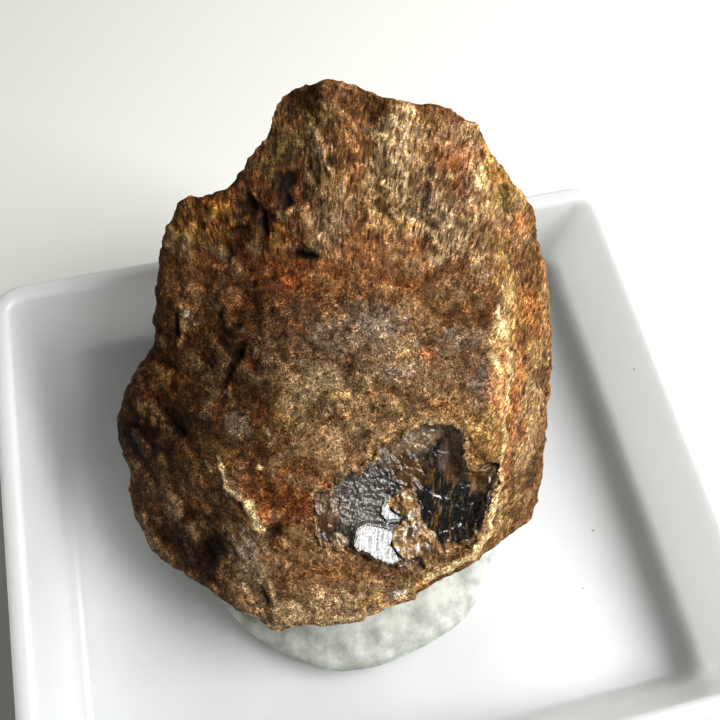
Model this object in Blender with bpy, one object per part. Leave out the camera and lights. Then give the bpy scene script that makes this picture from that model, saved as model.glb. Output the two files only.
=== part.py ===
# A betafite crystal fragment fixed with mineral putty in a small white tray.
#
# Three sub-parts, each one solid:
#   tray      a shallow plastic tray with drafted walls
#   putty     a kneaded disc of mineral putty on the tray's floor
#   betafite  the stone, one broken crystal with a broad face that leans back
#
# The stone is shaped in its own frame, in millimetres: x to the right and y up
# its broad face, z out of that face. Its front and its back are each a height
# over (x, y), its outline is a ring of corners, and the three are joined by a
# wall. Everything else is in metres, +Z up, the origin at the middle of the
# tray's underside.

import math

import bmesh
import bpy
import numpy as np
from mathutils import Vector, noise

MM = 0.001
TINY = 0.01  # mm, a distance that counts as none

# Driving dimensions, in millimetres and degrees.

TRAY_FLOOR_X = 56.2  # inside, at the floor
TRAY_FLOOR_Y = 45.5
TRAY_HEIGHT = 12.5
TRAY_FLOOR = 1.5
TRAY_WALL = 1.7
TRAY_DRAFT = 0.055  # run per rise, the walls lean outwards
TRAY_CORNER = 1.4  # inner corner radius in plan
TRAY_FILLET = 1.2  # between wall and floor
TRAY_FOOT_EDGE = 0.6
TRAY_RIM_EDGE = 0.35
CORNER_SEGMENTS = 6

GAP = 0.3  # kept between touching pieces

PUTTY_RADIUS = 15.4
PUTTY_HEIGHT = 3.6
PUTTY_CENTRE = (0.3, 0.1)
PUTTY_BULGE = 1.5  # how far the edge bulges past the foot
PUTTY_SEGMENTS = 72
PUTTY_FLAT = 10.5  # the stone keeps the putty flat out to this radius
PUTTY_LOBES = [(6.0, 0.45), (2.2, 0.2)]  # size and depth of the edge's waves
PUTTY_DENTS = (4.0, 0.5)  # and of the dents in its top
PUTTY_TOP = 0.9  # share of the height above which the putty is its top

FACE_TILT = 30.0  # the broad face leans back by this much from level
FACE_TURN = -17.9  # and is turned by this much about the vertical
FACE_ORIGIN = (-1.03, 7.17, 24.35)
SEAT_HEIGHT = TRAY_FLOOR + GAP + PUTTY_HEIGHT + GAP  # the stone's underside

STONE_GRID = 64  # quads along each side of the grid that is shaped
WALL_RINGS = 12
STONE_TRIANGLES = 0.34  # share of the triangles that is kept

# The stone's outline seen along its z, corner by corner, anticlockwise from
# the right, in the stone's frame.
OUTLINE = [
    (19.1, -1.6), (18.5, 1.8), (17.7, 6.1), (16.7, 8.1), (16.0, 10.0), (15.9, 11.3),
    (15.4, 12.8), (13.8, 14.3), (12.4, 14.9), (12.2, 15.7), (10.7, 16.6), (10.2, 17.6),
    (9.4, 17.9), (7.4, 18.8), (3.8, 19.0), (1.2, 19.6), (-0.4, 20.2), (-1.5, 20.5),
    (-4.5, 20.1), (-5.6, 18.2), (-6.3, 16.0), (-7.9, 14.0), (-9.0, 12.1), (-11.0, 11.4),
    (-13.2, 10.7), (-14.1, 8.9), (-14.8, 6.3), (-15.6, 3.5), (-15.2, 2.0), (-15.8, 0.6),
    (-15.0, -0.4), (-16.5, -3.6), (-18.0, -7.7), (-18.6, -10.9), (-16.9, -13.5),
    (-17.5, -15.0), (-16.3, -17.2), (-14.4, -20.4), (-11.4, -21.3), (-8.5, -22.1),
    (-5.4, -22.9), (-2.8, -23.6), (0.3, -22.7), (3.4, -22.4), (5.7, -21.2), (7.9, -19.8),
    (10.1, -18.2), (13.1, -16.4), (15.3, -15.2), (17.8, -15.1), (19.4, -13.2),
    (19.4, -11.0), (19.1, -8.4), (19.2, -5.2),
]
OUTLINE_MIDDLE = (0.3, -1.2)

# The broad face ends in a left crest and a right ridge, each an x for a y.
CREST = [(-22.7, -2.4), (-14.7, -4.4), (-9.1, -8.3), (-0.8, -8.0), (6.0, -8.4), (20.0, -9.5)]
RIDGE = [(-14.5, 13.4), (-8.9, 13.9), (-2.6, 13.5), (2.0, 12.7), (6.5, 11.7), (10.9, 10.8),
         (14.5, 10.0), (18.1, 8.4)]
CREST_SLOPE = [(-22.0, 0.44), (-14.0, 0.46), (-6.0, 0.44), (4.0, 0.40), (12.0, 0.34)]
RIDGE_SLOPE = [(-14.0, 1.45), (-4.0, 1.45), (6.0, 1.25), (12.0, 1.0), (16.0, 1.0)]
FACE_DOME = 0.0035
EDGE_ROUND = 0.5

# Flutes run down the face from near its top: the x and y of the head, the x
# and y of the foot, half width, height.
FLUTES = [
    (-1.6, 21.0, -0.9, 9.5, 1.2, 0.5),
    (2.5, 20.0, 4.4, 9.8, 1.2, 0.6),
    (-3.3, 16.5, -3.9, 8.2, 0.9, -0.9),
    (0.7, 18.5, 1.4, 11.5, 0.8, -0.45),
    (5.0, 17.5, 5.9, 11.0, 0.75, -0.75),
]
FLUTE_FADE = 2.0

# Ledges: the face steps down to the right of a line from one point to another.
LEDGES = [
    ((1.0, 10.9), (6.0, 10.6), 0.35),
    ((5.6, 10.9), (9.6, 6.0), 0.45),
    ((-9.6, 7.6), (-6.0, 8.6), 0.4),
    ((-13.5, -7.0), (-9.0, -6.0), 0.3),
]
LEDGE_HALF_WIDTH = 0.25
LEDGE_FADE = (1.0, 4.0)  # away from the line

# Pits: x, y, radius, depth.
PITS = [
    (-7.3, 10.6, 1.3, 0.75), (-6.2, 8.4, 1.2, 0.7), (-8.2, 7.4, 0.9, 0.5),
    (-2.7, 7.3, 1.1, 0.55), (6.2, 12.3, 0.8, 0.4), (4.1, 5.2, 1.4, 0.3),
    (9.8, 1.2, 1.6, 0.35), (-12.6, -8.4, 1.5, 0.45), (-8.2, -17.0, 2.0, 0.6),
    (-16.5, -14.0, 1.0, 0.5), (-3.6, -14.6, 0.9, 0.5),
]
PIT_FLOOR = 0.2  # the flat share of a pit's radius

FISSURE = ((-6.9, -0.2), (-8.4, -4.2))
FISSURE_HALF_WIDTH = 0.55
FISSURE_DEPTH = 0.9

# A fresh conchoidal break low on the face: its outline, and the bowl in it.
BREAK_OUTLINE = [
    (-0.5, -10.9), (1.7, -9.7), (3.3, -8.5), (4.5, -7.2), (5.9, -5.7), (7.8, -4.9), (9.7, -4.8),
    (10.6, -6.6), (10.9, -8.3), (12.2, -8.6), (12.4, -12.6), (11.8, -14.3), (10.4, -15.6),
    (9.3, -17.0), (6.2, -16.7), (2.2, -15.6), (0.1, -14.9), (-0.7, -13.3),
]
BREAK_MIDDLE = (6.6, -11.2)
BREAK_RADII = (7.2, 6.8)
BREAK_DEPTH = 2.2
BREAK_STEP = 0.5  # the least depth, at its outline
BREAK_EDGE = 1.3  # the width of its sloping edge

# The back's facets: a plane's run over x and over y, and its height where x
# and y are both 0.
BACK_FACETS = [
    (-0.30, 0.40, -17.0),
    (0.27, 0.40, -17.6),
    (-1.20, 0.05, -29.4),
    (1.20, -0.05, -33.6),
    (-0.75, -0.75, -34.6),
    (0.72, -0.70, -33.6),
    (-0.62, 0.66, -19.8),
    (0.66, 0.62, -26.4),
]
# How far the wall draws in towards the back, by the angle about the outline.
BACK_SHRINK = [(-180, 0.88), (-135, 0.93), (-90, 0.985), (-45, 0.95), (0, 0.9), (45, 0.82),
               (90, 0.73), (110, 0.73), (135, 0.84), (180, 0.88)]
WALL_BULGE = [(-180, 0.035), (-90, 0.02), (-45, 0.045), (0, 0.03), (60, 0.0), (120, -0.01),
              (180, 0.035)]

# Lumps over the whole stone: size and height of each scale. They fade out
# over the flat seat.
LUMPS = [(5.5, 0.42), (2.4, 0.24), (1.3, 0.12)]
LUMP_SEED = Vector((3.7, 11.3, 5.1))
SEAT_FADE = (0.6, 2.1)
CORNER_SMOOTHING = 0.5

# Below the break the ridge crosses the grid's diagonal, where its quads are
# skewed, so this corner is smoothed more: x, y, radius, passes.
SKEWED_CORNER = (12.0, -13.6, 4.0, 6)


# Small helpers

def ramp(low, high, value):
    t = np.clip((value - low) / (high - low), 0, 1)
    return t * t * (3 - 2 * t)


def past(distance):
    """The distance past an edge, zero before it, rounded where it starts."""
    return (distance + np.sqrt(distance ** 2 + EDGE_ROUND ** 2)) / 2


def along(pairs, value):
    keys, values = zip(*sorted(pairs))
    return np.interp(value, keys, values)


def segment_distance(x, y, start, end):
    (ax, ay), (bx, by) = start, end
    t = ((x - ax) * (bx - ax) + (y - ay) * (by - ay)) / ((bx - ax) ** 2 + (by - ay) ** 2)
    t = np.clip(t, 0, 1)
    return np.hypot(x - ax - t * (bx - ax), y - ay - t * (by - ay))


def depth_inside(x, y, outline):
    """How far a point lies inside a closed outline, negative outside it."""
    nearest = np.full(np.shape(x), 1e9)
    inside = np.zeros(np.shape(x), bool)
    for (ax, ay), (bx, by) in zip(outline, outline[1:] + outline[:1]):
        nearest = np.minimum(nearest, segment_distance(x, y, (ax, ay), (bx, by)))
        if ay != by:
            crosses = (ay > y) != (by > y)
            inside ^= crosses & (x < ax + (y - ay) * (bx - ax) / (by - ay))
    return np.where(inside, nearest, -nearest)


def turned(angles_and_values, angle):
    return along(angles_and_values, np.degrees(angle))


# The stone's surfaces

def outline_reach(angle):
    """The outline's distance from its middle, straight from corner to corner."""
    corners = np.array(OUTLINE) - OUTLINE_MIDDLE
    reach = np.zeros(np.shape(angle))
    direction = np.stack([np.cos(angle), np.sin(angle)], -1)
    for a, b in zip(corners, np.roll(corners, -1, 0)):
        side = b - a
        cross = direction[..., 0] * side[1] - direction[..., 1] * side[0]
        safe = np.where(np.abs(cross) < 1e-9, 1e-9, cross)
        out = (a[0] * side[1] - a[1] * side[0]) / safe
        share = (a[0] * direction[..., 1] - a[1] * direction[..., 0]) / safe
        hit = (out > 0) & (share >= -1e-6) & (share <= 1 + 1e-6)
        reach = np.where(hit, np.maximum(reach, out), reach)
    return reach


def front_height(x, y):
    z = -FACE_DOME * ((x - 2) ** 2 + 0.2 * y ** 2)
    z -= along(CREST_SLOPE, y) * past(along(CREST, y) - x)
    z -= along(RIDGE_SLOPE, y) * past(x - along(RIDGE, y))
    for head_x, head_y, foot_x, foot_y, half_width, height in FLUTES:
        middle = head_x + (foot_x - head_x) * (head_y - y) / (head_y - foot_y)
        fade = ramp(foot_y - FLUTE_FADE, foot_y + FLUTE_FADE, y)
        fade = fade * (1 - ramp(head_y - FLUTE_FADE, head_y + FLUTE_FADE, y))
        z += height * fade * np.exp(-((x - middle) / half_width) ** 2)
    for (ax, ay), (bx, by), drop in LEDGES:
        length = math.hypot(bx - ax, by - ay)
        across = ((x - ax) * (by - ay) - (y - ay) * (bx - ax)) / length
        fade = 1 - ramp(*LEDGE_FADE, segment_distance(x, y, (ax, ay), (bx, by)))
        z -= drop * fade * ramp(-LEDGE_HALF_WIDTH, LEDGE_HALF_WIDTH, across)
    for px, py, radius, depth in PITS:
        z -= depth * (1 - ramp(PIT_FLOOR * radius, radius, np.hypot(x - px, y - py)))
    cleft = segment_distance(x, y, *FISSURE)
    z -= FISSURE_DEPTH * (1 - ramp(0, FISSURE_HALF_WIDTH, cleft))
    z -= break_depth(x, y)
    return z


def break_depth(x, y):
    across = (x - BREAK_MIDDLE[0]) / BREAK_RADII[0]
    up = (y - BREAK_MIDDLE[1]) / BREAK_RADII[1]
    bowl = BREAK_DEPTH * (1 - across ** 2 - up ** 2)
    inside = depth_inside(x, y, BREAK_OUTLINE)
    return np.maximum(bowl, BREAK_STEP) * ramp(0, BREAK_EDGE, inside)


def seat_height(y):
    """The stone's flat underside, level in the world."""
    tilt = math.radians(FACE_TILT)
    return (SEAT_HEIGHT - FACE_ORIGIN[2] - y * math.sin(tilt)) / math.cos(tilt)


def back_height(x, y):
    z = seat_height(y)
    for run_x, run_y, height in BACK_FACETS:
        z = np.maximum(z, height + run_x * x + run_y * y)
    return z


def square_to_disc(u, v):
    """A square grid's (u, v) as a radius and an angle, its lines kept even."""
    wide = np.abs(u) >= np.abs(v)
    safe_u = np.where(u == 0, 1e-12, u)
    safe_v = np.where(v == 0, 1e-12, v)
    angle = np.where(wide, math.pi / 4 * v / safe_u, math.pi / 2 - math.pi / 4 * u / safe_v)
    radius = np.where(wide, u, v)
    angle = np.where(radius < 0, angle + math.pi, angle)
    angle = np.where(angle > math.pi, angle - 2 * math.pi, angle)
    return np.abs(radius), angle


def stone_point(cube):
    """A cube's surface points moved to the stone's surface."""
    u, v, w = cube.T
    radius, angle = square_to_disc(u, v)
    reach = outline_reach(angle)
    shrink = turned(BACK_SHRINK, angle)
    draw_in = (1 - w) / 2  # 0 at the front, 1 at the back
    bulge = turned(WALL_BULGE, angle) * np.sin(math.pi * draw_in)
    scale = (1 + (shrink - 1) * draw_in + bulge) * reach * radius
    x = OUTLINE_MIDDLE[0] + scale * np.cos(angle)
    y = OUTLINE_MIDDLE[1] + scale * np.sin(angle)
    rim_x = OUTLINE_MIDDLE[0] + reach * np.cos(angle)
    rim_y = OUTLINE_MIDDLE[1] + reach * np.sin(angle)
    foot_x = OUTLINE_MIDDLE[0] + shrink * reach * np.cos(angle)
    foot_y = OUTLINE_MIDDLE[1] + shrink * reach * np.sin(angle)
    rim = front_height(rim_x, rim_y)
    foot = back_height(foot_x, foot_y)
    z = rim + (foot - rim) * draw_in
    z = np.where(w > 0.9999, front_height(x, y), z)
    z = np.where(w < -0.9999, back_height(x, y), z)
    return np.stack([x, y, z], -1)


# The pieces

def material(name, colour, roughness):
    made = bpy.data.materials.new(name)
    made.use_nodes = True
    shader = made.node_tree.nodes["Principled BSDF"]
    shader.inputs["Base Color"].default_value = (*colour, 1)
    shader.inputs["Roughness"].default_value = roughness
    made.diffuse_color = (*colour, 1)
    return made


def add_object(name, bm, finish):
    mesh = bpy.data.meshes.new(name)
    bm.to_mesh(mesh)
    bm.free()
    mesh.materials.append(finish)
    added = bpy.data.objects.new(name, mesh)
    bpy.context.scene.collection.objects.link(added)
    return added


def make_stone(finish):
    bm = bmesh.new()
    bmesh.ops.create_cube(bm, size=2)
    upright = [e for e in bm.edges if abs(e.verts[0].co.z - e.verts[1].co.z) > 1]
    level = [e for e in bm.edges if e not in upright]
    bmesh.ops.subdivide_edges(bm, edges=level, cuts=STONE_GRID - 1, use_grid_fill=True)
    upright = [e for e in bm.edges if abs(e.verts[0].co.z - e.verts[1].co.z) > 1]
    bmesh.ops.subdivide_edges(bm, edges=upright, cuts=WALL_RINGS - 1, use_grid_fill=True)
    bm.verts.ensure_lookup_table()
    points = stone_point(np.array([v.co[:] for v in bm.verts]))
    for vert, point in zip(bm.verts, points):
        vert.co = point
    corner_x, corner_y, reach, passes = SKEWED_CORNER
    skewed = [v for v in bm.verts if v.co.z > seat_height(v.co.y) / 2
              and math.hypot(v.co.x - corner_x, v.co.y - corner_y) < reach]
    for verts in [bm.verts] + passes * [skewed]:
        bmesh.ops.smooth_vert(bm, verts=verts, factor=CORNER_SMOOTHING, use_axis_x=True,
                              use_axis_y=True, use_axis_z=True)
    bm.normal_update()
    upright_share = math.cos(math.radians(FACE_TILT))
    moves = []
    for vert in bm.verts:
        lump = sum(height * noise.noise(vert.co / size + LUMP_SEED) for size, height in LUMPS)
        above_seat = (vert.co.z - seat_height(vert.co.y)) * upright_share
        moves.append(vert.normal * lump * ramp(*SEAT_FADE, above_seat))
    for vert, move in zip(bm.verts, moves):
        vert.co = (vert.co + move) * MM
    stone = add_object("betafite", bm, finish)
    stone.location = Vector(FACE_ORIGIN) * MM
    stone.rotation_euler = (math.radians(FACE_TILT), 0, math.radians(FACE_TURN))
    facets = stone.modifiers.new("facets", "DECIMATE")
    facets.ratio = STONE_TRIANGLES
    return stone


def putty_profile():
    """Half of the disc's section, from the middle of its top out and down."""
    foot = PUTTY_RADIUS - PUTTY_BULGE
    top = PUTTY_HEIGHT
    flat = PUTTY_FLAT
    return [
        (0, top), (0.4 * flat, top), (0.7 * flat, top), (flat, top), (0.9 * foot, top),
        (foot, 0.96 * top), (foot + 0.75 * PUTTY_BULGE, 0.8 * top), (PUTTY_RADIUS, 0.52 * top),
        (foot + 0.8 * PUTTY_BULGE, 0.2 * top), (foot, 0), (0.6 * foot, 0), (0, 0),
    ]


def make_putty(finish):
    bm = bmesh.new()
    verts = [bm.verts.new((r * MM, 0, z * MM)) for r, z in putty_profile()]
    edges = [bm.edges.new(pair) for pair in zip(verts, verts[1:])]
    bmesh.ops.spin(bm, geom=verts + edges, axis=(0, 0, 1), angle=math.tau,
                   steps=PUTTY_SEGMENTS, use_merge=True)
    bmesh.ops.remove_doubles(bm, verts=bm.verts, dist=TINY * MM)
    dent_size, dent_depth = PUTTY_DENTS
    for vert in bm.verts:
        flat = Vector((vert.co.x, vert.co.y, 0)) / MM
        outer = ramp(PUTTY_FLAT, PUTTY_RADIUS - PUTTY_BULGE, flat.length)
        lobes = sum(depth * noise.noise(flat / size) for size, depth in PUTTY_LOBES)
        dent = dent_depth * (noise.noise(flat / dent_size + LUMP_SEED) - 1) / 2
        is_top = vert.co.z > PUTTY_TOP * PUTTY_HEIGHT * MM
        vert.co += flat.normalized() * lobes * outer * MM
        vert.co.z += dent * outer * is_top * MM
    bmesh.ops.recalc_face_normals(bm, faces=bm.faces)
    putty = add_object("putty", bm, finish)
    putty.location = (PUTTY_CENTRE[0] * MM, PUTTY_CENTRE[1] * MM, (TRAY_FLOOR + GAP) * MM)
    putty.data.shade_smooth()
    return putty


def make_tray(finish):
    bm = bmesh.new()
    spread = TRAY_DRAFT * (TRAY_HEIGHT - TRAY_FLOOR)
    foot_x = TRAY_FLOOR_X + 2 * (TRAY_WALL - TRAY_DRAFT * TRAY_FLOOR)
    foot_y = TRAY_FLOOR_Y + 2 * (TRAY_WALL - TRAY_DRAFT * TRAY_FLOOR)
    rim_x = TRAY_FLOOR_X + 2 * (TRAY_WALL + spread)
    rim_y = TRAY_FLOOR_Y + 2 * (TRAY_WALL + spread)
    bmesh.ops.create_cube(bm, size=1)
    for vert in bm.verts:
        at_rim = vert.co.z > 0
        vert.co.x *= (rim_x if at_rim else foot_x) * MM
        vert.co.y *= (rim_y if at_rim else foot_y) * MM
        vert.co.z = TRAY_HEIGHT * MM if at_rim else 0
    corners = [e for e in bm.edges if abs(e.verts[0].co.z - e.verts[1].co.z) > MM]
    bmesh.ops.bevel(bm, geom=corners, offset=(TRAY_CORNER + TRAY_WALL) * MM, affect="EDGES",
                    segments=CORNER_SEGMENTS, profile=0.5, material=-1)
    rim = max(bm.faces, key=lambda face: face.calc_center_median().z)
    bmesh.ops.inset_region(bm, faces=[rim], thickness=TRAY_WALL * MM, use_even_offset=True)
    sunk = bmesh.ops.extrude_discrete_faces(bm, faces=[rim])["faces"][0]
    for vert in sunk.verts:
        vert.co.z = TRAY_FLOOR * MM
        vert.co.x *= TRAY_FLOOR_X / (TRAY_FLOOR_X + 2 * spread)
        vert.co.y *= TRAY_FLOOR_Y / (TRAY_FLOOR_Y + 2 * spread)
    bmesh.ops.bevel(bm, geom=list(sunk.edges), offset=TRAY_FILLET * MM, affect="EDGES",
                    segments=4, profile=0.5, material=-1)
    foot = min(bm.faces, key=lambda face: face.calc_center_median().z)
    bmesh.ops.bevel(bm, geom=list(foot.edges), offset=TRAY_FOOT_EDGE * MM, affect="EDGES",
                    segments=2, profile=0.5, material=-1)
    top = [e for e in bm.edges if min(v.co.z for v in e.verts) > (TRAY_HEIGHT - TINY) * MM
           and len({round(f.normal.z, 1) for f in e.link_faces}) > 1]
    bmesh.ops.bevel(bm, geom=top, offset=TRAY_RIM_EDGE * MM, affect="EDGES",
                    segments=2, profile=0.5, material=-1)
    tray = add_object("tray", bm, finish)
    tray.data.shade_smooth()
    tray.data.set_sharp_from_angle(angle=math.radians(35))
    return tray


for old in list(bpy.data.objects):
    bpy.data.objects.remove(old, do_unlink=True)

make_tray(material("white polystyrene", (0.82, 0.82, 0.81), 0.35))
make_putty(material("mineral putty", (0.58, 0.58, 0.56), 0.85))
make_stone(material("betafite", (0.22, 0.12, 0.055), 0.7))
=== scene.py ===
import math

import bmesh
import bpy
import numpy as np
from mathutils import Euler, Matrix, Vector, noise


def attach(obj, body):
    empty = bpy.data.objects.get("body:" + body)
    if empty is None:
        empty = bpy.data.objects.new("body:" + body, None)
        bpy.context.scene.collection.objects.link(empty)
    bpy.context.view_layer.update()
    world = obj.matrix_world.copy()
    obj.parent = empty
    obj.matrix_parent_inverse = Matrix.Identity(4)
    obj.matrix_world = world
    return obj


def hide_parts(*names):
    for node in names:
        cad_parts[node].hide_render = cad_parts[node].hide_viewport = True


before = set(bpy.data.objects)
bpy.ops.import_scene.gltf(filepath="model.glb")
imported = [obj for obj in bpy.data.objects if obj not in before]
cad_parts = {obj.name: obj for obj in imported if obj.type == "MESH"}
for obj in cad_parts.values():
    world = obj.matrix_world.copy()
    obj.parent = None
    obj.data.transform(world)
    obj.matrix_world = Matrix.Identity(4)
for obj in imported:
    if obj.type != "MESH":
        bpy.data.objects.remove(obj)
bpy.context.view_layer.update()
mm = 0.001


# shared helpers

def linear(hexColour):  # sRGB hex to linear RGBA
    channels = [int(hexColour[i:i + 2], 16) / 255 for i in (1, 3, 5)]
    return [c / 12.92 if c <= 0.04045 else ((c + 0.055) / 1.055) ** 2.4 for c in channels] + [1]


def ramp(low, high, value):  # smooth step from 0 at low to 1 at high
    t = np.clip((value - low) / (high - low), 0, 1)
    return t * t * (3 - 2 * t)


def noiseAt(points, size, seed=0.0):  # smooth noise, about -1 to 1, its grain in the points' unit
    shifted = points / np.array(size) + (seed, 1.7 * seed, -seed)
    return np.array([noise.noise(p) for p in shifted.tolist()])


def flakesAt(points, size, seed=0.0):  # broken flakes: a tilted facet in each cell, height about -0.5 to 0.5
    softEdge = 0.12  # part of a flake over which it steps to the next
    heights = []
    for p in (points / size + seed).tolist():
        distances, seats = noise.voronoi(p)
        first, second = (noise.cell(seat * 9.1) * 0.5 + (Vector(p) - seat).dot(noise.cell_vector(seat * 5.3))
                         for seat in seats[:2])
        share = 0.5 + 0.5 * min(1.0, (distances[1] - distances[0]) / softEdge)
        heights.append(first * share + second * (1 - share))
    return np.array(heights)


def cellsAt(points, size, seed=0.0):  # a random value from 0 to 1 for each broken chip
    return np.array([noise.cell(noise.voronoi(p)[1][0] * 7.7) for p in (points / size + seed).tolist()])


def segmentDistance(x, y, start, end):
    (ax, ay), (bx, by) = start, end
    t = ((x - ax) * (bx - ax) + (y - ay) * (by - ay)) / ((bx - ax) ** 2 + (by - ay) ** 2)
    t = np.clip(t, 0, 1)
    return np.hypot(x - ax - t * (bx - ax), y - ay - t * (by - ay))


def lineDistance(x, y, points):  # distance to an open line of points
    return np.minimum.reduce([segmentDistance(x, y, a, b) for a, b in zip(points, points[1:])])


def insideOf(x, y, outline):  # distance inside a closed outline, negative outside
    closed = outline + outline[:1]
    inside = np.zeros(np.shape(x), bool)
    for (ax, ay), (bx, by) in zip(closed, closed[1:]):
        if ay != by:
            inside ^= ((ay > y) != (by > y)) & (x < ax + (y - ay) * (bx - ax) / (by - ay))
    return np.where(inside, 1, -1) * lineDistance(x, y, closed)


def spot(x, y, middle, halfWidth, halfHeight, turn=0.0):  # 0 in the middle, 1 on an ellipse
    c, s = math.cos(math.radians(turn)), math.sin(math.radians(turn))
    dx, dy = x - middle[0], y - middle[1]
    return np.hypot((c * dx + s * dy) / halfWidth, (c * dy - s * dx) / halfHeight)


def mix(a, b, share):
    return a + (b - a) * share


def setAttribute(mesh, name, values):  # a value or a vector at each point
    kind, field = ("FLOAT", "value") if values.ndim == 1 else ("FLOAT_VECTOR", "vector")
    made = mesh.attributes.new(name, kind, "POINT")
    made.data.foreach_set(field, values.astype(np.float32).ravel())


def addNode(tree, kind, inputs=None, **settings):  # a node with its settings and its links or values
    node = tree.nodes.new(kind)
    for name, value in settings.items():
        setattr(node, name, value)
    for key, value in (inputs or {}).items():
        if isinstance(value, bpy.types.NodeSocket):
            tree.links.new(value, node.inputs[key])
        else:
            node.inputs[key].default_value = value
    return node


def setColours(node, stops):  # a Color Ramp's places and hex colours
    ends = node.color_ramp.elements
    while len(ends) < len(stops):
        ends.new(0.5)
    for end, (place, colour) in zip(ends, stops):
        end.position = place
        end.color = linear(colour)


def applied(mesh, kind, **settings):  # the mesh with one modifier applied
    holder = bpy.data.objects.new("holder", mesh)
    bpy.context.scene.collection.objects.link(holder)
    modifier = holder.modifiers.new(kind, kind)
    for name, value in settings.items():
        setattr(modifier, name, value)
    depsgraph = bpy.context.evaluated_depsgraph_get()
    made = bpy.data.meshes.new_from_object(holder.evaluated_get(depsgraph))
    bpy.data.objects.remove(holder)
    return made


def newMaterial(name):
    made = bpy.data.materials.new(name)
    made.use_nodes = True
    return made, made.node_tree, made.node_tree.nodes["Principled BSDF"]


def addPiece(name, mesh, materials, node):  # a piece that stands for a CAD node
    piece = bpy.data.objects.new(name, mesh)
    bpy.context.scene.collection.objects.link(piece)
    for material in materials:
        mesh.materials.append(material)
    mesh.shade_smooth()
    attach(piece, "root")
    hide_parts(node)
    print(name, "has", sum(len(face.vertices) - 2 for face in mesh.polygons), "triangles")


# the stone: a broken betafite crystal with a weathered rind and a fresh glassy break
# x and y run over its broad face and z out of it, in millimetres

stone = {
    "faceMiddle": (-1.03, 7.17, 24.35),
    "faceTilt": 30.0,  # degrees
    "faceTurn": -17.9,
    "faceDepth": 7.0,  # everything on the broad face is less deep than this
    "marksFade": (-9.0, -6.0),  # heights over which pits and threads fade out down the sides
    "coloursFade": (-11.0, -8.0),  # and the patches of colour
    "evenGrid": 0.395,  # between points, halved on the broad face and again in the break
    "breakMargin": 0.5,  # how far past the break's outline the grid is halved again
    "evenSmoothing": 7,
    "faceSmoothing": 3,
    "peakWider": 0.75,
    "peakTaller": 0.35,
    "fibreMiddle": (0.5, -30.0),  # the fibres fan out from here
    "fibreReach": 36.0,
    "lumps": [(2.8, 0.2), (1.3, 0.06)],  # size and height
    "crumbs": [(0.65, 0.04), (0.36, 0.05)],
    "flakes": [(2.4, 0.24), (1.0, 0.07), (0.5, 0.045)],
    "fibreRelief": ((0.45, 2.2, 0.5), 0.08),  # size across, along and into the face, and height
}

vein = [(-8.4, -9.4), (-7.9, -10.8), (-7.5, -11.8), (-6.6, -12.3), (-5.7, -13.1), (-5.2, -13.9), (-4.7, -14.6)]
breakOutline = [
    (-0.6, -11.3), (0.6, -10.9), (1.5, -10.0), (2.1, -9.1), (2.7, -9.5), (3.6, -8.4), (4.5, -7.1), (5.9, -6.0),
    (7.3, -5.2), (8.6, -4.8), (9.5, -4.9), (10.3, -5.3), (10.8, -6.1), (10.9, -7.3), (11.4, -8.5), (12.5, -8.4),
    (13.3, -8.1), (13.6, -9.5), (13.6, -11.4), (13.2, -13.1), (12.4, -14.5), (11.0, -15.2), (9.9, -15.6),
    (9.1, -16.7), (8.6, -17.1), (7.1, -16.6), (5.3, -16.6), (3.8, -15.8), (2.1, -15.6), (0.4, -15.3),
    (-0.1, -14.7), (-0.4, -12.8),
]

# from the stone's own frame to the world
toStone = (Matrix.Translation(Vector(stone["faceMiddle"]) * mm)
           @ Euler((math.radians(stone["faceTilt"]), 0, math.radians(stone["faceTurn"]))).to_matrix().to_4x4())

palette = {
    "umber": "#664120", "bark": "#3c2009", "soot": "#180d04", "rust": "#86522b", "brick": "#7a4222",
    "orange": "#bd7240", "ochre": "#976b36", "gold": "#bd9054", "cream": "#c8a576", "paleGold": "#ecc88c",
    "tan": "#9c7852", "dust": "#84694e", "lilac": "#87715f", "olive": "#6b5a2c", "white": "#ebe3d5",
    "black": "#0b0a09", "steel": "#50483f", "amber": "#5c3b10", "honey": "#94661f", "beige": "#b99d74",
}

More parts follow.
